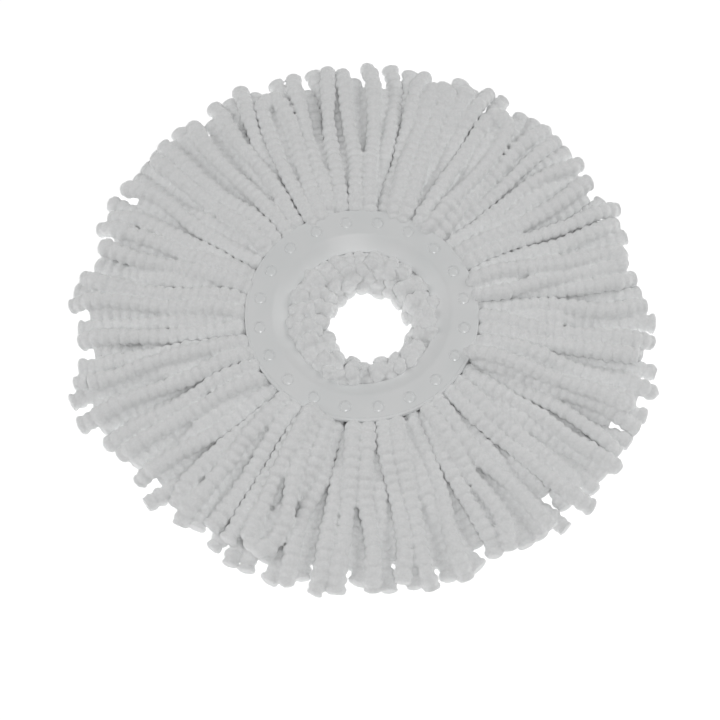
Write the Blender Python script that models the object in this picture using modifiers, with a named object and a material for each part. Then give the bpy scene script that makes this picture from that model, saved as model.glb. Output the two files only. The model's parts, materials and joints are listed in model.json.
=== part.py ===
"""Refill head of a spin mop: a clip-on plastic ring that clamps twenty bunches of microfibre yarn.

The mop lies on its yarns with +Z up and the origin on the floor under its centre. Everything is in metres.
From the top down:
  top_ring      turned cover ring: a flat rim, a lip that turns down outside and a conical wall inside,
                with one recess for each stake
  clamp_ring    flat ring under the yarns, with one stake that rises through each hole of the top ring and
                ends in a formed head in the recess
  tuft_root_NN  the stretch of each yarn bunch that the rings grip, and its short ends in the opening
  tuft_NN       the free stretch of the same bunch, which droops about the clamp ring's outer edge
"""

from math import cos, pi, radians, sin

import bmesh
import bpy
from mathutils import Matrix, Vector

# Driving dimensions
TUFT_COUNT = 20
MOP_RADIUS = 0.200
RING_OUTER_R = 0.080
RING_TOP_Z = 0.025
RIM_INNER_R = 0.061
RIM_THICKNESS = 0.0022
RIM_EDGE_ROUND = 0.0012
LIP_DROP = 0.0045
LIP_THICKNESS = 0.0016
WALL_FOOT_R = 0.050
WALL_DROP = 0.0080
WALL_THICKNESS = 0.0022
CLAMP_INNER_R = 0.052
CLAMP_MARGIN = 0.0015
CLAMP_THICKNESS = 0.0025
CLAMP_CHAMFER = 0.0005
STAKE_CIRCLE_R = 0.0704
STAKE_R = 0.0018
STAKE_HEAD_R = 0.0028
STAKE_HEAD_HEIGHT = 0.0008
RECESS_R = 0.0036
RECESS_DEPTH = 0.0013
TUFT_ROOT_HEIGHT = 0.0198
TUFT_MIDDLE_HEIGHT = 0.0140
TUFT_TIP_HEIGHT = 0.0105
TUFT_UNDERCUT = 0.0040
INNER_END_R = 0.0245
INNER_END_HEIGHT = 0.0080
INNER_HEIGHT = 0.0138

# Clearances
FIT_GAP = 0.0003
SIDE_GAP_ANGLE = radians(0.4)
TUFT_START_GAP = 0.0005
FOLD_GAP = 0.0005

# Facets
RING_STEPS = 60
STAKE_STEPS = 12
RECESS_STEPS = 16
TUFT_STEPS = 4

# Sizes worked out from the ones above
PITCH = 2 * pi / TUFT_COUNT
TUFT_ANGLE = PITCH - 2 * SIDE_GAP_ANGLE
RIM_UNDERSIDE_Z = RING_TOP_Z - RIM_THICKNESS
LIP_FOOT_Z = RING_TOP_Z - LIP_DROP
LIP_INNER_R = RING_OUTER_R - LIP_THICKNESS
WALL_FOOT_Z = RING_TOP_Z - WALL_DROP
CLAMP_OUTER_R = RING_OUTER_R - CLAMP_MARGIN
RECESS_FLOOR_Z = RING_TOP_Z - RECESS_DEPTH
TUFT_START_R = RING_OUTER_R
ROOT_END_R = TUFT_START_R - TUFT_START_GAP
HINGE_R = CLAMP_OUTER_R + FOLD_GAP
HINGE_Z = CLAMP_THICKNESS + FOLD_GAP


def clear_scene():
    for old in list(bpy.data.objects):
        bpy.data.objects.remove(old, do_unlink=True)


def new_collection(name):
    collection = bpy.data.collections.new(name)
    bpy.context.scene.collection.children.link(collection)
    return collection


def new_material(name, color, roughness):
    material = bpy.data.materials.new(name)
    material.use_nodes = True
    shader = material.node_tree.nodes["Principled BSDF"]
    shader.inputs["Base Color"].default_value = (*color, 1.0)
    shader.inputs["Roughness"].default_value = roughness
    shader.inputs["Metallic"].default_value = 0.0
    return material


def outline_mesh(name, points, filled):
    """The closed outline through (radius, height) points in the XZ plane, as edges or as one face."""
    shape = bmesh.new()
    corners = [shape.verts.new((r, 0.0, z)) for r, z in points]
    if filled:
        shape.faces.new(corners)
    else:
        for corner, following in zip(corners, corners[1:] + corners[:1]):
            shape.edges.new((corner, following))
    mesh = bpy.data.meshes.new(name)
    shape.to_mesh(mesh)
    shape.free()
    return mesh


def link_object(name, mesh, collection, material=None):
    piece = bpy.data.objects.new(name, mesh)
    collection.objects.link(piece)
    if material:
        mesh.materials.clear()
        mesh.materials.append(material)
    return piece


def add_screw(piece, steps):
    screw = piece.modifiers.new("turn", "SCREW")
    screw.angle = 2 * pi
    screw.steps = steps
    screw.render_steps = steps
    screw.use_merge_vertices = True
    screw.merge_threshold = 0.00001
    screw.use_smooth_shade = True


def add_boolean(piece, operation, cutters):
    boolean = piece.modifiers.new(operation.lower(), "BOOLEAN")
    boolean.operation = operation
    boolean.operand_type = "COLLECTION"
    boolean.collection = cutters
    boolean.solver = "EXACT"


def add_cutter(name, mesh, collection):
    cutter = link_object(name, mesh, collection)
    cutter.hide_render = True
    cutter.display_type = "WIRE"
    return cutter


def stake_angle(index):
    """The stakes stand between neighbouring tufts."""
    return (index + 0.5) * PITCH


def arc(center_r, center_z, radius, start, end, count):
    """Points on a round corner, from start to end in degrees."""
    angles = [radians(start + (end - start) * i / (count - 1)) for i in range(count)]
    return [(center_r + radius * cos(a), center_z + radius * sin(a)) for a in angles]


def place_around(mesh, prefix, collection, steps):
    """One turned cutter at each stake."""
    for index in range(TUFT_COUNT):
        cutter = add_cutter(f"{prefix}_{index + 1:02d}", mesh, collection)
        angle = stake_angle(index)
        cutter.location = (STAKE_CIRCLE_R * cos(angle), STAKE_CIRCLE_R * sin(angle), 0.0)
        cutter.rotation_euler = (0.0, 0.0, angle)
        add_screw(cutter, steps)


def wall_outside_r(z):
    """Radius of the conical wall's outer side at height z."""
    slope = (RIM_INNER_R - WALL_FOOT_R) / WALL_DROP
    return WALL_FOOT_R + WALL_THICKNESS + slope * (z - WALL_FOOT_Z)


def build_top_ring(collection, cutters, material):
    edge_r = RING_OUTER_R - RIM_EDGE_ROUND
    edge_z = RING_TOP_Z - RIM_EDGE_ROUND
    outline = [(RIM_INNER_R, RING_TOP_Z)]
    outline += arc(edge_r, edge_z, RIM_EDGE_ROUND, 90, 0, 4)
    outline += [
        (RING_OUTER_R, LIP_FOOT_Z),
        (LIP_INNER_R, LIP_FOOT_Z),
        (LIP_INNER_R, RIM_UNDERSIDE_Z),
        (wall_outside_r(RIM_UNDERSIDE_Z), RIM_UNDERSIDE_Z),
        (wall_outside_r(WALL_FOOT_Z), WALL_FOOT_Z),
        (WALL_FOOT_R, WALL_FOOT_Z),
    ]
    ring = link_object("top_ring", outline_mesh("top_ring", outline, False), collection, material)
    add_screw(ring, RING_STEPS)

    above = RING_TOP_Z + RECESS_DEPTH
    below = LIP_FOOT_Z
    hole_r = STAKE_R + FIT_GAP
    recess = [
        (0.0, above),
        (RECESS_R, above),
        (RECESS_R, RECESS_FLOOR_Z),
        (hole_r, RECESS_FLOOR_Z),
        (hole_r, below),
        (0.0, below),
    ]
    mesh = open_outline_mesh("recess", recess)
    place_around(mesh, "recess_cutter", cutters, RECESS_STEPS)
    add_boolean(ring, "DIFFERENCE", cutters)


def open_outline_mesh(name, points):
    """The open line through (radius, height) points, which starts and ends on the axis."""
    shape = bmesh.new()
    corners = [shape.verts.new((r, 0.0, z)) for r, z in points]
    for corner, following in zip(corners, corners[1:]):
        shape.edges.new((corner, following))
    mesh = bpy.data.meshes.new(name)
    shape.to_mesh(mesh)
    shape.free()
    return mesh


def build_clamp_ring(collection, stakes, material):
    top = CLAMP_THICKNESS
    cut = CLAMP_CHAMFER
    outline = [
        (CLAMP_INNER_R + cut, top),
        (CLAMP_OUTER_R - cut, top),
        (CLAMP_OUTER_R, top - cut),
        (CLAMP_OUTER_R, cut),
        (CLAMP_OUTER_R - cut, 0.0),
        (CLAMP_INNER_R + cut, 0.0),
        (CLAMP_INNER_R, cut),
        (CLAMP_INNER_R, top - cut),
    ]
    ring = link_object("clamp_ring", outline_mesh("clamp_ring", outline, False), collection, material)
    add_screw(ring, RING_STEPS)

    head_z = RECESS_FLOOR_Z + FIT_GAP
    dome_z = head_z + STAKE_HEAD_HEIGHT
    stake = [
        (0.0, dome_z),
        (0.55 * STAKE_HEAD_R, head_z + 0.85 * STAKE_HEAD_HEIGHT),
        (STAKE_HEAD_R, head_z),
        (STAKE_R, head_z),
        (STAKE_R, top / 2),
        (0.0, top / 2),
    ]
    mesh = open_outline_mesh("stake", stake)
    place_around(mesh, "stake_core", stakes, STAKE_STEPS)
    add_boolean(ring, "UNION", stakes)


def wedge_mesh(name, points, origin):
    """The closed solid that a filled outline sweeps through one tuft's angle, about an origin (r, z)."""
    mesh = outline_mesh(name, points, True)
    shape = bmesh.new()
    shape.from_mesh(mesh)
    bmesh.ops.rotate(shape, verts=shape.verts, cent=(0, 0, 0), matrix=Matrix.Rotation(-TUFT_ANGLE / 2, 3, "Z"))
    bmesh.ops.spin(
        shape,
        geom=shape.verts[:] + shape.edges[:] + shape.faces[:],
        cent=(0, 0, 0),
        axis=(0, 0, 1),
        angle=TUFT_ANGLE,
        steps=TUFT_STEPS,
        use_duplicate=False,
    )
    bmesh.ops.translate(shape, verts=shape.verts, vec=-Vector((origin[0], 0.0, origin[1])))
    bmesh.ops.recalc_face_normals(shape, faces=shape.faces)
    shape.to_mesh(mesh)
    shape.free()
    mesh.shade_smooth()
    mesh.set_sharp_from_angle(angle=radians(30))
    return mesh


def build_tuft_roots(collection, notches, material):
    """The gripped stretch of each bunch fills the space between the rings and reaches into the opening."""
    grip_z = CLAMP_THICKNESS + FIT_GAP
    under_foot_z = WALL_FOOT_Z - FIT_GAP
    under_rim_z = RIM_UNDERSIDE_Z - FIT_GAP
    foot_corner_r = wall_outside_r(WALL_FOOT_Z) + FIT_GAP
    rim_corner_r = wall_outside_r(RIM_UNDERSIDE_Z) + FIT_GAP
    soft_r = INNER_END_R + (CLAMP_INNER_R - INNER_END_R) / 4
    outline = [
        (INNER_END_R, 0.0),
        (INNER_END_R, INNER_END_HEIGHT),
        (soft_r, INNER_HEIGHT),
        (WALL_FOOT_R, INNER_HEIGHT),
        (foot_corner_r, under_foot_z),
        (rim_corner_r, under_rim_z),
        (LIP_INNER_R - FIT_GAP, under_rim_z),
        (LIP_INNER_R - FIT_GAP, TUFT_ROOT_HEIGHT),
        (ROOT_END_R, TUFT_ROOT_HEIGHT),
        (ROOT_END_R, grip_z),
        (CLAMP_INNER_R - FIT_GAP, grip_z),
        (CLAMP_INNER_R - FIT_GAP, 0.0),
    ]
    mesh = wedge_mesh("tuft_root", outline, (0.0, 0.0))

    notch_r = STAKE_R + FIT_GAP
    notch = [
        (0.0, RING_TOP_Z),
        (notch_r, RING_TOP_Z),
        (notch_r, 0.0),
        (0.0, 0.0),
    ]
    place_around(open_outline_mesh("notch", notch), "notch_cutter", notches, STAKE_STEPS)
    for index in range(TUFT_COUNT):
        root = link_object(f"tuft_root_{index + 1:02d}", mesh, collection, material)
        root.rotation_euler = (0.0, 0.0, index * PITCH)
        add_boolean(root, "DIFFERENCE", notches)


def build_tufts(collection, material):
    """The free stretch of each bunch, with its origin on the line that it droops about."""
    flat_start_r = TUFT_START_R + TUFT_UNDERCUT * 2
    tip_round = TUFT_TIP_HEIGHT / 3
    middle_r = (TUFT_START_R + MOP_RADIUS) / 2
    outline = [
        (TUFT_START_R, TUFT_UNDERCUT),
        (TUFT_START_R, TUFT_ROOT_HEIGHT),
        (TUFT_START_R + TUFT_UNDERCUT, TUFT_ROOT_HEIGHT),
        (middle_r, TUFT_MIDDLE_HEIGHT),
        (MOP_RADIUS - tip_round, TUFT_TIP_HEIGHT),
        (MOP_RADIUS, TUFT_TIP_HEIGHT - tip_round),
        (MOP_RADIUS, tip_round),
        (MOP_RADIUS - tip_round, 0.0),
        (flat_start_r, 0.0),
    ]
    mesh = wedge_mesh("tuft", outline, (HINGE_R, HINGE_Z))
    for index in range(TUFT_COUNT):
        angle = index * PITCH
        tuft = link_object(f"tuft_{index + 1:02d}", mesh, collection, material)
        tuft.location = (HINGE_R * cos(angle), HINGE_R * sin(angle), HINGE_Z)
        tuft.rotation_euler = (0.0, 0.0, angle)


def main():
    clear_scene()
    model = new_collection("spin_mop_refill")
    cutters = new_collection("cutters")
    recesses = bpy.data.collections.new("recess_cutters")
    stakes = bpy.data.collections.new("stake_cores")
    notches = bpy.data.collections.new("notch_cutters")
    for group in (recesses, stakes, notches):
        cutters.children.link(group)

    ring_plastic = new_material("white_polypropylene", (0.80, 0.81, 0.81), 0.38)
    clamp_plastic = new_material("white_polypropylene_clamp", (0.76, 0.77, 0.77), 0.45)
    grip_yarn = new_material("white_microfibre_gripped", (0.74, 0.74, 0.75), 0.90)
    free_yarn = new_material("white_microfibre", (0.78, 0.78, 0.79), 0.95)

    build_top_ring(model, recesses, ring_plastic)
    build_clamp_ring(model, stakes, clamp_plastic)
    build_tuft_roots(model, notches, grip_yarn)
    build_tufts(model, free_yarn)


main()
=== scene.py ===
"""Looks of a spin mop refill head: a top ring, the clamp ring under it and twenty tufts of beaded yarn."""

import json
from math import asin, cos, degrees, hypot, pi, radians, sin

import bmesh
import bpy
import numpy as np
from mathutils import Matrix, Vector, kdtree


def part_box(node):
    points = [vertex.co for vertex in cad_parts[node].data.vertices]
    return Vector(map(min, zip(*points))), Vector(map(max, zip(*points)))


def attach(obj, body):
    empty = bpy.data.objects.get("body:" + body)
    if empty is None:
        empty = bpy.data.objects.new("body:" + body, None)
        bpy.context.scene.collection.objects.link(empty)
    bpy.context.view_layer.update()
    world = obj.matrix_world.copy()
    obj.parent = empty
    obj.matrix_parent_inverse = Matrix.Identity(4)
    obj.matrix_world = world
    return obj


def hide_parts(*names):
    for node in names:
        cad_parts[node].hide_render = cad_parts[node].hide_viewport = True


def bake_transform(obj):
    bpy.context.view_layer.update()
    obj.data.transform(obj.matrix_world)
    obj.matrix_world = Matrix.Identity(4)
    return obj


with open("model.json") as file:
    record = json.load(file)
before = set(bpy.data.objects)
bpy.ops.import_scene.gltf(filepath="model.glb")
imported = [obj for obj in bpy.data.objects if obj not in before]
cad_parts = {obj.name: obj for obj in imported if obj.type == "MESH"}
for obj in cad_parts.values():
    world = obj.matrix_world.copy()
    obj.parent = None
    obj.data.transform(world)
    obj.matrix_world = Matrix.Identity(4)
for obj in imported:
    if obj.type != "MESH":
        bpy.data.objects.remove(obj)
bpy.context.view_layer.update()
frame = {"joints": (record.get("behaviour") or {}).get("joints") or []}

MM = 0.001

# ---------------------------------------------------------------- sizes taken from the frame, in millimetres
ring_low, ring_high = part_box("top_ring")
TUFTS = len(frame["joints"])
PITCH = 2 * pi / TUFTS
RING_R = ring_high.x / MM
RING_TOP = ring_high.z / MM
RING_FOOT = ring_low.z / MM
HINGE_R = hypot(*frame["joints"][0]["pos_m"][:2]) / MM
# The clamp ring ends just inside the hinges, and the yarns bend over its edge
CLAMP_R = HINGE_R - 0.5

# Top ring, as moulded
RIM_INNER_R = 61.0
WALL_FOOT_R = 50.0
WALL_THICKNESS = 2.2
RIM_THICKNESS = 2.2
LIP_DROP = 4.5
LIP_THICKNESS = 1.6
LEDGE_WIDTH = 1.9
LEDGE_STEP = 0.45
LEDGE_ROUND = 0.3
EDGE_ROUND = 1.0
LIP_ROUND = 0.4
FOOT_ROUND = 0.8
WALL_FLARE = 3.2
STAKE_CIRCLE_R = 70.4
DISH_R = 4.4
DISH_WALL = 0.8
DISH_DEPTH = 1.3
STAKE_R = 1.8
HEAD_R = 3.6
HEAD_RISE = 0.95
HEAD_BALL_R = (HEAD_R**2 + HEAD_RISE**2) / (2 * HEAD_RISE)
CLAMP_INNER_R = 52.0
CLAMP_THICKNESS = 2.5
CLAMP_ROUND = 0.6
# The stakes stand in the clamp ring's plate, and their heads in the floor of the dishes
STAKE_ROOT = 0.5
HEAD_SUNK = 0.1
# Steps of a full turn. The top ring has the most, because the dishes are pressed into its faces
RING_STEPS = 720
CLAMP_STEPS = 240
STAKE_STEPS = 24
HEAD_POINTS = 14

# Yarns, in three layers from the lowest up. They are thinner where the rings grip them
YARN_R = 5.3
GRIP_HEIGHT = (5.9, 11.3, 16.8)
FOOT_HEIGHT = (5.9, 9.4, 13.0)
GRIP_SQUEEZE = 0.66
# Share of its radius at which a yarn meets the next one, and what the crowded inner ends take off it
TOUCH_SHARE = 0.92
CROWDING = 0.26
# How much fuller the pile stands beside the ring, at the tips and at the inner ends
FULL_NEAR_RING = 0.09
FULL_AT_TIP = 0.20
FULL_INSIDE = 1.08
# The top layer bulges by this much over the ring's edge, and the yarns reach the floor this far from the ring
PUFF = 3.4
PUFF_LENGTH = 34
DROP_START = 6
DROP_LENGTH = 62
# Tufts come in two kinds. Each lists the layers of its yarns in the order in which they lie at the tips
TIP_ORDERS = ((2, 1, 2, 0, 1, 2, 0, 1), (1, 0, 2, 1, 0, 2, 1, 0))
BEAD_PITCH = 6.6
RINGS_PER_BEAD = 6
GROOVE = 0.30
BEAD_ROUND = 0.6
BEAD_UNEVEN = 0.10
YARN_UNEVEN = 0.06
END_ROUND = 1.8
# The pile as relief: the grain of the merged skin, and the height and width of its ruffles
PILE_VOXEL = 0.95
RUFFLE_HEIGHT = 0.6
RUFFLE_WIDTH = 2.6
SPECK_VERTICES = 400
# Settling: mm that a yarn sinks in a round, and the shares of an overlap and of a kink that a round takes out
PATH_POINTS = 40
SETTLE_ROUNDS = 60
SINK = 0.22
PUSH_SHARE = 0.22
STRAIGHTEN_SHARE = 0.22
FLOOR_GAP = 0.5
# How far each tuft is combed out, in mm from the centre, starting at tuft_01 on +X and going anticlockwise
TUFT_REACH = (202, 201, 201, 206, 209, 207, 203, 205, 202, 197)
TUFT_REACH += (199, 203, 197, 192, 196, 197, 200, 200, 204, 208)
LOOPED_TUFTS = (1, 3, 4, 6, 14, 19)
LOOP_GAP = 3.2
LOOP_EXTRA = 3.5
# How unevenly the yarns lie: a tuft leans as one, inner ends stray by degrees, and tips end short of the reach
TUFT_LEAN = radians(1.4)
INNER_STRAY = 13
TIP_STRAY = 0.06
TIP_SPREAD = 1.04
TIP_SHORT = (-13, 1)
LOW_LAYER_SHORT = 4
DEEP_MIDDLE = (-1.5, 4)
DEEP_SIDE = (2, 12)
# The inner ends leave a ragged hole, which lies off the axis
HOLE_R = 28.0
HOLE_SHIFT = (4.4, -4.0)
SEED = 11


# ---------------------------------------------------------------- small helpers
def smooth(x):
    """Goes from 0 to 1 as x does, with soft ends."""
    x = np.clip(x, 0.0, 1.0)
    return x * x * (3 - 2 * x)


def polar(r, angle, z=0.0):
    return (r * cos(angle), r * sin(angle), z)


def mesh_object(name, mesh, materials):
    piece = bpy.data.objects.new(name, mesh)
    bpy.context.scene.collection.objects.link(piece)
    for material in materials:
        mesh.materials.append(material)
    return piece


def final_mesh(piece):
    """The piece's mesh with its modifiers applied."""
    depsgraph = bpy.context.evaluated_depsgraph_get()
    return bpy.data.meshes.new_from_object(piece.evaluated_get(depsgraph))


# ---------------------------------------------------------------- materials
def srgb(code):
    """A colour written as sRGB hex, as linear RGBA."""
    channels = [int(code[i : i + 2], 16) / 255 for i in (1, 3, 5)]
    linear = [c / 12.92 if c <= 0.04045 else ((c + 0.055) / 1.055) ** 2.4 for c in channels]
    return (*linear, 1.0)


def add_node(tree, kind, settings=None, inputs=None, links=None):
    """Adds one node with its settings, its socket values, and links from (node, output) to its inputs."""
    node = tree.nodes.new(kind)
    for key, value in (settings or {}).items():
        setattr(node, key, value)
    for key, value in (inputs or {}).items():
        node.inputs[key].default_value = value
    for key, (source, output) in (links or {}).items():
        tree.links.new(source.outputs[output], node.inputs[key])
    return node


def new_material(name):
    material = bpy.data.materials.new(name)
    material.use_nodes = True
    tree = material.node_tree
    shader = tree.nodes["Principled BSDF"]
    place = add_node(tree, "ShaderNodeTexCoord")
    return material, tree, shader, place


def per_mm(size_mm):
    """The noise scale whose features are about size_mm across."""
    return 1 / (size_mm * MM)


def microfibre_yarn(name, light, shade, painted_pit_shade):
    """Bleached polyester microfibre, tufted in beads: scatters light, with no gloss, a faint sheen, and
    painted shade in the pits of its pile.
    """
    material, tree, shader, place = new_material(name)
    spots = {"Vector": (place, "Object")}
    tone = add_node(
        tree, "ShaderNodeTexNoise", None, {"Scale": per_mm(9.0), "Detail": 3.0, "Roughness": 0.6}, spots
    )
    ramp = add_node(tree, "ShaderNodeValToRGB", links={"Fac": (tone, "Fac")})
    ramp.color_ramp.elements[0].position = 0.3
    ramp.color_ramp.elements[1].position = 0.7
    ramp.color_ramp.elements[0].color = srgb(shade)
    ramp.color_ramp.elements[1].color = srgb(light)
    # The cut ends of the pile are 0.2 mm and would not show, so they are drawn 1 to 2 mm apart
    pile = add_node(
        tree, "ShaderNodeTexNoise", None, {"Scale": per_mm(1.1), "Detail": 4.0, "Roughness": 0.7}, spots
    )
    clumps = add_node(tree, "ShaderNodeTexVoronoi", None, {"Scale": per_mm(1.9)}, spots)
    both = add_node(
        tree,
        "ShaderNodeMath",
        {"operation": "MULTIPLY_ADD"},
        {1: -0.45},
        {0: (clumps, "Distance"), 2: (pile, "Fac")},
    )
    depth = add_node(
        tree,
        "ShaderNodeMapRange",
        None,
        {"From Min": 0.15, "From Max": 0.42},
        {"Value": (both, "Value")},
    )
    # Painted shade: where the pile relief is low between clumps, the colour turns to the darker pit colour.
    # This stands in for the shade the fibres cast into the pits. The same relief also drives the bump.
    color = add_node(
        tree,
        "ShaderNodeMix",
        {"data_type": "RGBA"},
        {6: srgb(painted_pit_shade)},
        {0: (depth, "Result"), 7: (ramp, "Color")},
    )
    tree.links.new(color.outputs[2], shader.inputs["Base Color"])
    bump = add_node(
        tree, "ShaderNodeBump", None, {"Strength": 0.35, "Distance": 0.6 * MM}, {"Height": (both, "Value")}
    )
    tree.links.new(bump.outputs["Normal"], shader.inputs["Normal"])
    shader.inputs["Roughness"].default_value = 0.95
    shader.inputs["Specular IOR Level"].default_value = 0.12
    shader.inputs["Sheen Weight"].default_value = 0.45
    shader.inputs["Sheen Roughness"].default_value = 0.7
    shader.inputs["Subsurface Weight"].default_value = 0.6
    shader.inputs["Subsurface Radius"].default_value = (1.0, 1.0, 1.0)
    shader.inputs["Subsurface Scale"].default_value = 1.2 * MM
    return material


def moulded_polypropylene(name, light, shade, roughness):
    """Injection moulded polypropylene: white, slightly waxy, with a soft highlight and faint flow marks."""
    material, tree, shader, place = new_material(name)
    spots = {"Vector": (place, "Object")}
    flow = add_node(
        tree, "ShaderNodeTexNoise", None, {"Scale": per_mm(30.0), "Detail": 2.0, "Roughness": 0.5}, spots
    )
    ramp = add_node(tree, "ShaderNodeValToRGB", links={"Fac": (flow, "Fac")})
    ramp.color_ramp.elements[0].position = 0.35
    ramp.color_ramp.elements[1].position = 0.65
    ramp.color_ramp.elements[0].color = srgb(shade)
    ramp.color_ramp.elements[1].color = srgb(light)
    tree.links.new(ramp.outputs["Color"], shader.inputs["Base Color"])
    gloss = add_node(
        tree,
        "ShaderNodeMapRange",
        None,
        {"To Min": roughness - 0.05, "To Max": roughness + 0.07},
        {"Value": (flow, "Fac")},
    )
    tree.links.new(gloss.outputs["Result"], shader.inputs["Roughness"])
    peel = add_node(tree, "ShaderNodeTexNoise", None, {"Scale": per_mm(2.2), "Detail": 1.0}, spots)
    bump = add_node(
        tree, "ShaderNodeBump", None, {"Strength": 0.15, "Distance": 0.04 * MM}, {"Height": (peel, "Fac")}
    )
    tree.links.new(bump.outputs["Normal"], shader.inputs["Normal"])
    shader.inputs["IOR"].default_value = 1.49
    return material


def lightbox_floor():
    """Matt white acrylic sheet, lit from below as on a product table."""
    material, tree, shader, place = new_material("white_acrylic_sheet")
    shader.inputs["Base Color"].default_value = srgb("#FAFAFA")
    shader.inputs["Roughness"].default_value = 0.9
    shader.inputs["Specular IOR Level"].default_value = 0.1
    shader.inputs["Emission Color"].default_value = srgb("#FFFFFF")
    shader.inputs["Emission Strength"].default_value = 0.47
    return material


# ---------------------------------------------------------------- the two rings
def arc(center, radius, start, end, count):
    """Points on a round corner of an outline, from start to end in degrees."""
    angles = [radians(start + (end - start) * i / (count - 1)) for i in range(count)]
    return [(center[0] + radius * cos(a), center[1] + radius * sin(a)) for a in angles]


def line(start, end, spacing):
    """Points along a straight stretch of an outline, without its end."""
    count = max(1, round(hypot(end[0] - start[0], end[1] - start[1]) / spacing))
    return [
        (start[0] + (end[0] - start[0]) * i / count, start[1] + (end[1] - start[1]) * i / count)
        for i in range(count)
    ]


def turned(name, outline, steps):
    """A closed outline of (radius, height) points in mm, spun about the upright axis."""
    shape = bmesh.new()
    corners = [shape.verts.new((r * MM, 0.0, z * MM)) for r, z in outline]
    edges = [shape.edges.new(pair) for pair in zip(corners, corners[1:] + corners[:1])]
    bmesh.ops.spin(
        shape,
        geom=corners + edges,
        cent=(0, 0, 0),
        axis=(0, 0, 1),
        angle=2 * pi,
        steps=steps,
        use_merge=True,
        use_duplicate=False,
    )
    bmesh.ops.recalc_face_normals(shape, faces=shape.faces)
    mesh = bpy.data.meshes.new(name)
    shape.to_mesh(mesh)
    shape.free()
    return mesh


def stake_angles():
    return [(i + 0.5) * PITCH for i in range(TUFTS)]


def sink_dishes(mesh):
    """Presses one dish into the rim at each stake: a steep rounded wall and a flat floor."""
    centers = [Vector(polar(STAKE_CIRCLE_R, a)) for a in stake_angles()]
    for vertex in mesh.vertices:
        x, y, z = (c / MM for c in vertex.co)
        if z < RING_TOP - 1.2:
            continue
        nearest = min(hypot(x - c.x, y - c.y) for c in centers)
        depth = DISH_DEPTH * smooth((DISH_R - nearest) / DISH_WALL)
        vertex.co.z -= depth * MM


def make_top_ring(plastic):
    """Flat rim with a stepped, rounded lip outside and a flared wall that runs down into the opening."""
    top = RING_TOP
    under = top - RIM_THICKNESS
    lip_foot = top - LIP_DROP
    lip_inner = RING_R - LIP_THICKNESS
    ledge_r = RING_R - LEDGE_WIDTH
    slope = (WALL_FOOT_R - RIM_INNER_R, RING_FOOT - top)
    reach = hypot(*slope)
    along = (slope[0] / reach, slope[1] / reach)
    rim_end = (RIM_INNER_R + WALL_FLARE * 0.55, top)
    wall_start = (RIM_INNER_R + along[0] * WALL_FLARE, top + along[1] * WALL_FLARE)
    bend = [(RIM_INNER_R + 0.25, top - 0.22), (RIM_INNER_R - 0.9, top - 0.85)]
    outline = line(rim_end, (ledge_r - LEDGE_ROUND, top), 0.42)
    outline += arc((ledge_r - LEDGE_ROUND, top - LEDGE_ROUND), LEDGE_ROUND, 90, 10, 4)
    outline += [(ledge_r + 0.05, top - LEDGE_STEP)]
    outline += arc((RING_R - EDGE_ROUND, top - LEDGE_STEP - EDGE_ROUND), EDGE_ROUND, 90, 0, 6)
    outline += arc((RING_R - LIP_ROUND, lip_foot + LIP_ROUND), LIP_ROUND, 0, -90, 4)
    outline += arc((lip_inner + LIP_ROUND, lip_foot + LIP_ROUND), LIP_ROUND, -90, -180, 4)
    outline += [(lip_inner, under), (RIM_INNER_R + WALL_THICKNESS * 0.9, under)]
    outline += [(WALL_FOOT_R + WALL_THICKNESS, RING_FOOT + 0.2)]
    outline += arc((WALL_FOOT_R + FOOT_ROUND, RING_FOOT + FOOT_ROUND), FOOT_ROUND, -90, -200, 6)
    outline += line((WALL_FOOT_R + 0.35, RING_FOOT + 1.4), wall_start, 1.2)
    outline += [wall_start, bend[1], bend[0]]
    mesh = turned("top_ring_moulded", outline, RING_STEPS)
    sink_dishes(mesh)
    mesh.shade_smooth()
    mesh.set_sharp_from_angle(angle=radians(50))
    ring = mesh_object("top_ring_moulded", mesh, [plastic])
    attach(ring, "ring")
    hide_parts("top_ring")


def make_stake():
    """A round stake on the upright axis, closed all round, with a low domed head that overhangs it."""
    root_z = CLAMP_THICKNESS - STAKE_ROOT
    neck_z = RING_TOP - DISH_DEPTH - HEAD_SUNK
    dome_z = neck_z + HEAD_SUNK + HEAD_RISE - HEAD_BALL_R
    half = degrees(asin(HEAD_R / HEAD_BALL_R))
    outline = [(0.0, root_z), (STAKE_R, root_z), (STAKE_R, neck_z), (HEAD_R, neck_z)]
    outline += arc((0.0, dome_z), HEAD_BALL_R, 90 - half, 90, HEAD_POINTS)
    shape = bmesh.new()
    shape.from_mesh(turned("stake_blank", outline, STAKE_STEPS))
    bmesh.ops.remove_doubles(shape, verts=shape.verts, dist=0.001 * MM)
    on_axis = [edge for edge in shape.edges if not edge.link_faces]
    bmesh.ops.delete(shape, geom=on_axis, context="EDGES")
    bmesh.ops.recalc_face_normals(shape, faces=shape.faces)
    mesh = bpy.data.meshes.new("stake_turned")
    shape.to_mesh(mesh)
    shape.free()
    return mesh


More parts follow.
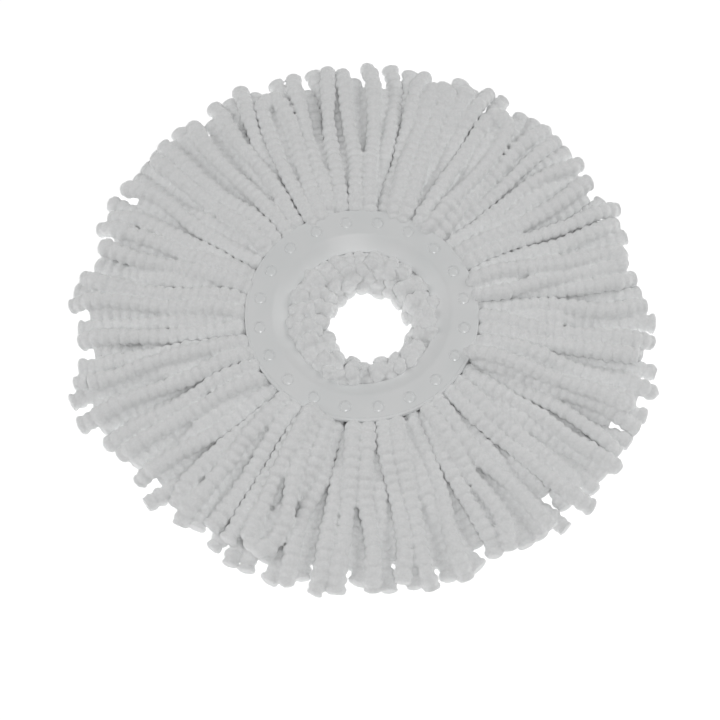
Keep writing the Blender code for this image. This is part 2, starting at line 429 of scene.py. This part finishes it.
def make_clamp_ring(plastic):
    """Flat lower ring with rounded edges, and the stakes whose heads sit in the dishes."""
    top = CLAMP_THICKNESS
    edge = CLAMP_ROUND
    outline = arc((CLAMP_R - edge, top - edge), edge, 90, 0, 4)
    outline += arc((CLAMP_R - edge, edge), edge, 0, -90, 4)
    outline += arc((CLAMP_INNER_R + edge, edge), edge, -90, -180, 4)
    outline += arc((CLAMP_INNER_R + edge, top - edge), edge, 180, 90, 4)
    shape = bmesh.new()
    shape.from_mesh(turned("clamp_ring_blank", outline, CLAMP_STEPS))
    stake = make_stake()
    for angle in stake_angles():
        count = len(shape.verts)
        shape.from_mesh(stake)
        shape.verts.ensure_lookup_table()
        bmesh.ops.translate(shape, verts=shape.verts[count:], vec=Vector(polar(STAKE_CIRCLE_R, angle)) * MM)
    mesh = bpy.data.meshes.new("clamp_ring_moulded")
    shape.to_mesh(mesh)
    shape.free()
    mesh.shade_smooth()
    mesh.set_sharp_from_angle(angle=radians(50))
    ring = mesh_object("clamp_ring_moulded", mesh, [plastic])
    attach(ring, "ring")
    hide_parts("clamp_ring")


# ---------------------------------------------------------------- where the yarns lie
def ceiling(r, layer):
    """Height of a gripped yarn's centre line under the plate, which comes down towards the wall's foot."""
    share = smooth((r - WALL_FOOT_R) / (RIM_INNER_R + 6 - WALL_FOOT_R))
    return FOOT_HEIGHT[layer] + (GRIP_HEIGHT[layer] - FOOT_HEIGHT[layer]) * share


def yarn_path(inner_r, tip_r, angles, layer, sway):
    """A yarn from inner_r out to tip_r, whose angles are where it starts, is gripped and ends."""
    r = np.linspace(inner_r, tip_r, PATH_POINTS)
    outward = np.clip((r - RING_R) / (tip_r - RING_R), 0, 1)
    inward = smooth((CLAMP_INNER_R - r) / (CLAMP_INNER_R - inner_r + 1e-6))
    angle = angles[1] + (angles[2] - angles[1]) * outward**0.8 + (angles[0] - angles[1]) * inward
    angle = angle + sway[0] * np.sin(pi * outward) / 90 + sway[1] * outward**3 / 45
    puff = PUFF * layer / 2 * np.sin(pi * np.clip((r - RING_R) / PUFF_LENGTH, 0, 1))
    drop = smooth((r - RING_R - DROP_START) / DROP_LENGTH)
    z = (ceiling(r, layer) + puff) * (1 - drop) + (YARN_R + layer) * drop
    z = z + 1.6 * layer * inward
    return np.stack([r * np.cos(angle), r * np.sin(angle), z], axis=1)


def looped_path(tip_r, angle):
    """A yarn that goes out, turns back at its tip beside itself and is gripped at both ends."""
    turn = PATH_POINTS // 2 - 2
    out = np.linspace(RING_R - 14, tip_r - LOOP_GAP, turn)
    bend = np.radians((-65, -22, 22, 65))
    forward = np.concatenate([out, tip_r + LOOP_GAP * (np.cos(bend) - 1), out[::-1]])
    side = LOOP_GAP * np.concatenate([np.full(turn, -1.0), np.sin(bend), np.full(turn, 1.0)])
    x = forward * cos(angle) - side * sin(angle)
    y = forward * sin(angle) + side * cos(angle)
    drop = smooth((forward - RING_R - DROP_START) / DROP_LENGTH)
    z = (GRIP_HEIGHT[2] + PUFF) * (1 - drop) + 2.2 * YARN_R * drop
    return np.stack([x, y, z], axis=1)


def near_pairs(points, owner, place, reach):
    """Pairs of points on different yarns, or far apart on one yarn, that are closer than reach."""
    tree = kdtree.KDTree(len(points))
    for i, point in enumerate(points):
        tree.insert(point, i)
    tree.balance()
    pairs = [
        (i, j)
        for i, point in enumerate(points)
        for _, j, _ in tree.find_range(point, reach)
        if j > i and (owner[i] != owner[j] or abs(place[i] - place[j]) > 3)
    ]
    return np.array(pairs)


def settle(paths, girth, touch, held):
    """Lets the yarns sink on to the floor and one another. Their lengths stay and held points don't move."""
    count = len(paths)
    start = paths.copy()
    lengths = np.linalg.norm(paths[:, 1:] - paths[:, :-1], axis=2)
    owner = np.repeat(np.arange(count), PATH_POINTS)
    place = np.tile(np.arange(PATH_POINTS), count)
    width = (touch * girth).reshape(-1)
    for turn in range(SETTLE_ROUNDS):
        points = paths.reshape(-1, 3)
        if turn % 6 == 0:
            pairs = near_pairs(points, owner, place, 2 * YARN_R + 1.0)
        points[:, 2] -= SINK
        first, second = pairs[:, 0], pairs[:, 1]
        gap = points[second] - points[first]
        distance = np.maximum(np.linalg.norm(gap, axis=1), 1e-4)
        overlap = np.maximum(width[first] + width[second] - distance, 0)
        push = gap * (PUSH_SHARE * overlap / distance)[:, None]
        np.add.at(points, second, push)
        np.add.at(points, first, -push)
        paths = points.reshape(count, PATH_POINTS, 3)
        for _ in range(2):
            bow = paths[:, 2:] + paths[:, :-2] - 2 * paths[:, 1:-1]
            paths[:, 1:-1] += STRAIGHTEN_SHARE * bow
        for parity in (0, 1):
            step = paths[:, parity + 1 :: 2] - paths[:, parity:-1:2]
            span = np.linalg.norm(step, axis=2)
            change = step * (0.5 * (span - lengths[:, parity::2]) / span)[:, :, None]
            paths[:, parity:-1:2] += change
            paths[:, parity + 1 :: 2] -= change
        paths[:, :, 2] = np.maximum(paths[:, :, 2], girth + FLOOR_GAP)
        paths[held] = start[held]
    return paths


def hole_edge(angle):
    """Distance from the axis to the edge of the ragged hole, in a direction."""
    across = HOLE_SHIFT[0] * cos(angle) + HOLE_SHIFT[1] * sin(angle)
    return HOLE_R + across


def lay_out_yarns(rng):
    """Every yarn's settled centre line, with the index of its tuft and its squeeze along it."""
    paths, tufts = [], []
    for tuft, reach in enumerate(TUFT_REACH):
        middle = tuft * PITCH
        lean = TUFT_LEAN * rng.uniform(-1, 1)
        order = TIP_ORDERS[tuft % 2]
        placed = [0, 0, 0]
        for place, layer in enumerate(order):
            number = order.count(layer)
            spacing = 2 * PITCH / sum(each.count(layer) for each in TIP_ORDERS)
            column = placed[layer]
            placed[layer] += 1
            grip = middle + (column - (number - 1) / 2) * spacing
            tip_share = (place + 0.5) / len(order) - 0.5 + rng.uniform(-TIP_STRAY, TIP_STRAY)
            tip = middle + tip_share * PITCH * TIP_SPREAD + lean
            inner = grip + radians(rng.uniform(-INNER_STRAY, INNER_STRAY))
            deep = rng.uniform(*(DEEP_MIDDLE if column == 1 else DEEP_SIDE))
            tip_r = reach + rng.uniform(*TIP_SHORT) - (LOW_LAYER_SHORT if layer == 0 else 0)
            sway = rng.uniform(-1, 1, size=2)
            paths.append(yarn_path(hole_edge(inner) + deep, tip_r, (inner, grip, tip), layer, sway))
            tufts.append(tuft)
        if tuft in LOOPED_TUFTS:
            paths.append(looped_path(reach + LOOP_EXTRA, middle + PITCH * rng.uniform(-0.3, 0.3)))
            tufts.append(tuft)
    paths = np.array(paths)
    radius = np.hypot(paths[:, :, 0], paths[:, :, 1])
    open_pile = 1 + FULL_NEAR_RING * (1 - smooth((radius - 110) / 50))
    open_pile += FULL_AT_TIP * smooth((radius - radius.max(axis=1, keepdims=True) + 58) / 50)
    squeeze = GRIP_SQUEEZE + (open_pile - GRIP_SQUEEZE) * smooth((radius - RING_R + 2.2) / 4)
    squeeze += (FULL_INSIDE - GRIP_SQUEEZE) * smooth((WALL_FOOT_R - radius) / 6)
    held = (radius >= WALL_FOOT_R - 1) & (radius <= RING_R + 1)
    touch = TOUCH_SHARE - CROWDING * smooth((CLAMP_INNER_R - radius) / 4)
    settled = settle(paths, squeeze * YARN_R, touch, held)
    return settled, tufts, squeeze


# ---------------------------------------------------------------- the yarns themselves
def resample(path, values, spacing):
    """Points every spacing mm along a smooth curve through the path, and the values there."""
    before = np.vstack([2 * path[0] - path[1], path, 2 * path[-1] - path[-2]])
    fine = []
    for t in np.linspace(0, 1, 6, endpoint=False):
        a, b, c, d = before[:-3], before[1:-2], before[2:-1], before[3:]
        fine.append(
            0.5 * (2 * b + (c - a) * t + (2 * a - 5 * b + 4 * c - d) * t**2 + (3 * b - a - 3 * c + d) * t**3)
        )
    curve = np.vstack([np.stack(fine, axis=1).reshape(-1, 3), path[-1:]])
    value = np.interp(np.linspace(0, 1, len(curve)), np.linspace(0, 1, len(values)), values)
    along = np.concatenate([[0], np.cumsum(np.linalg.norm(np.diff(curve, axis=0), axis=1))])
    stops = np.arange(0, along[-1], spacing)
    points = np.stack([np.interp(stops, along, curve[:, k]) for k in range(3)], axis=1)
    return points, np.interp(stops, along, value), stops, along[-1]


def bead_radii(stops, length, squeeze, rng):
    """The yarn's radius at each stop: a groove between beads, uneven beads, and rounded ends."""
    step = np.arange(len(stops)) + rng.integers(RINGS_PER_BEAD)
    swell = 1 - GROOVE + GROOVE * np.sin(pi * (step % RINGS_PER_BEAD) / RINGS_PER_BEAD) ** BEAD_ROUND
    beads = step[-1] // RINGS_PER_BEAD + 1
    uneven = rng.uniform(1 - BEAD_UNEVEN, 1 + BEAD_UNEVEN, size=beads)[step // RINGS_PER_BEAD]
    end = np.minimum(stops, length - stops) / END_ROUND
    rounded = np.sqrt(np.clip(1 - (1 - np.clip(end, 0, 1)) ** 2, 0.12, 1))
    girth = YARN_R * rng.uniform(1 - YARN_UNEVEN, 1 + YARN_UNEVEN)
    return girth * squeeze * swell * uneven * rounded


def drop_specks(mesh):
    """Deletes the tiny closed shells that the remesh leaves in the gaps between yarns."""
    ends = np.empty(2 * len(mesh.edges), dtype=np.int32)
    mesh.edges.foreach_get("vertices", ends)
    first, second = ends[::2], ends[1::2]
    shell = np.arange(len(mesh.vertices))
    while not np.array_equal(shell[first], shell[second]):
        one, other = shell[first], shell[second]
        lower = np.minimum(one, other)
        np.minimum.at(shell, one, lower)
        np.minimum.at(shell, other, lower)
        shell = shell[shell]
    specks = np.flatnonzero(np.bincount(shell)[shell] < SPECK_VERTICES)
    if not len(specks):
        return
    shape = bmesh.new()
    shape.from_mesh(mesh)
    shape.verts.ensure_lookup_table()
    bmesh.ops.delete(shape, geom=[shape.verts[i] for i in specks], context="VERTS")
    shape.to_mesh(mesh)
    shape.free()


def pile_relief():
    """Uneven bumps that the ends of the pile make."""
    relief = bpy.data.textures.new("pile", "CLOUDS")
    relief.noise_scale = RUFFLE_WIDTH * MM
    relief.noise_depth = 2
    return relief


def make_tuft(index, yarns, fibre, relief):
    """One tuft's yarns, lying bent down over the clamp ring's edge, merged into one closed, ruffled skin."""
    name = f"tuft_{index + 1:02d}"
    curve = bpy.data.curves.new(name + "_yarns", "CURVE")
    curve.dimensions = "3D"
    curve.bevel_depth = MM
    curve.bevel_resolution = 4
    curve.use_fill_caps = True
    for points, radii in yarns:
        spline = curve.splines.new("POLY")
        spline.points.add(len(points) - 1)
        spline.points.foreach_set("co", np.column_stack([points * MM, np.ones(len(points))]).ravel())
        spline.points.foreach_set("radius", radii)
    guide = bpy.data.objects.new(name + "_guide", curve)
    bpy.context.scene.collection.objects.link(guide)
    mesh = final_mesh(guide)
    bpy.data.objects.remove(guide)
    shape = bmesh.new()
    shape.from_mesh(mesh)
    bmesh.ops.remove_doubles(shape, verts=shape.verts, dist=0.01 * MM)
    bmesh.ops.recalc_face_normals(shape, faces=shape.faces)
    shape.to_mesh(mesh)
    shape.free()
    mesh.materials.clear()
    piece = mesh_object(name + "_yarns", mesh, [fibre])
    # The piles of yarns that touch grow into one another, so the bundle is one closed skin
    felt = piece.modifiers.new("felt", "REMESH")
    felt.mode = "VOXEL"
    felt.voxel_size = PILE_VOXEL * MM
    felt.adaptivity = 0.0
    ruffle = piece.modifiers.new("ruffle", "DISPLACE")
    ruffle.texture = relief
    ruffle.texture_coords = "LOCAL"
    ruffle.strength = RUFFLE_HEIGHT * MM
    ruffle.mid_level = 0.5
    ruffled = final_mesh(piece)
    piece.modifiers.clear()
    piece.data = ruffled
    drop_specks(ruffled)
    ruffled.shade_smooth()
    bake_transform(piece)
    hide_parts(name, f"tuft_root_{index + 1:02d}")


def make_yarns(fibre):
    rng = np.random.default_rng(SEED)
    paths, tufts, squeeze = lay_out_yarns(rng)
    by_tuft = [[] for _ in range(TUFTS)]
    for path, tuft, tight in zip(paths, tufts, squeeze):
        points, tightness, stops, length = resample(path, tight, BEAD_PITCH / RINGS_PER_BEAD)
        by_tuft[tuft].append((points, bead_radii(stops, length, tightness, rng)))
    relief = pile_relief()
    for index, yarns in enumerate(by_tuft):
        make_tuft(index, yarns, fibre, relief)


# ---------------------------------------------------------------- floor, light and camera
# Places and sizes of the floor, lights and camera are in metres, and powers in watts
FLOOR_REACH = 3.0
FLOOR_DROP = 0.0004
SKY_STRENGTH = 0.24
SOFTBOXES = {
    "softbox_left": ((-1.5, 0.1, 0.95), 1.0, 5.6),
    "softbox_right": ((1.3, 0.8, 1.0), 1.0, 6.0),
    "softbox_front": ((0.2, -0.68, 1.5), 0.34, 5.9),
}
CAMERA_ELEVATION = radians(64.2)
CAMERA_DISTANCE = 1.464
CAMERA_LENS = 107.3
CAMERA_SENSOR = 36
# The camera looks this far below the ring's centre and to the side of it
AIM_DROP = radians(1.265)
AIM_SIDE = radians(0.11)


def add_floor():
    shape = bmesh.new()
    bmesh.ops.create_grid(shape, x_segments=1, y_segments=1, size=FLOOR_REACH)
    bmesh.ops.translate(shape, verts=shape.verts, vec=(0, 0, -FLOOR_DROP))
    mesh = bpy.data.meshes.new("floor")
    shape.to_mesh(mesh)
    shape.free()
    floor = mesh_object("floor", mesh, [lightbox_floor()])


def add_softbox(name, place, size, power):
    light = bpy.data.lights.new(name, "AREA")
    light.shape = "DISK"
    light.size = size
    light.energy = power
    lamp = bpy.data.objects.new(name, light)
    bpy.context.scene.collection.objects.link(lamp)
    lamp.location = place
    lamp.rotation_euler = (-Vector(place)).to_track_quat("-Z", "Y").to_euler()


def add_light():
    world = bpy.data.worlds.new("studio")
    bpy.context.scene.world = world
    world.use_nodes = True
    sky = world.node_tree.nodes["Background"]
    sky.inputs["Color"].default_value = srgb("#FFFFFF")
    sky.inputs["Strength"].default_value = SKY_STRENGTH
    for name, (place, size, power) in SOFTBOXES.items():
        add_softbox(name, place, size, power)


def add_camera():
    target = Vector((0, 0, RING_TOP * MM))
    back = Vector((0, -cos(CAMERA_ELEVATION), sin(CAMERA_ELEVATION)))
    view = bpy.data.cameras.new("camera")
    view.lens = CAMERA_LENS
    view.sensor_width = CAMERA_SENSOR
    camera = bpy.data.objects.new("camera", view)
    bpy.context.scene.collection.objects.link(camera)
    camera.location = target + back * CAMERA_DISTANCE
    pitch = pi / 2 - CAMERA_ELEVATION - AIM_DROP
    camera.rotation_euler = (pitch, 0, AIM_SIDE)
    bpy.context.scene.camera = camera


# The third colour is painted shade for the pits of the pile
white_yarn = microfibre_yarn("white_microfibre_yarn", "#FBFCFC", "#F6F7F7", "#F1F2F2")
top_plastic = moulded_polypropylene("white_polypropylene_satin", "#F2F3F3", "#EEF0F0", 0.36)
clamp_plastic = moulded_polypropylene("white_polypropylene_plain", "#F2F3F3", "#EEF0F0", 0.17)
make_top_ring(top_plastic)
make_clamp_ring(clamp_plastic)
make_yarns(white_yarn)
add_floor()
add_light()
add_camera()
bpy.context.scene.view_settings.view_transform = "Standard"
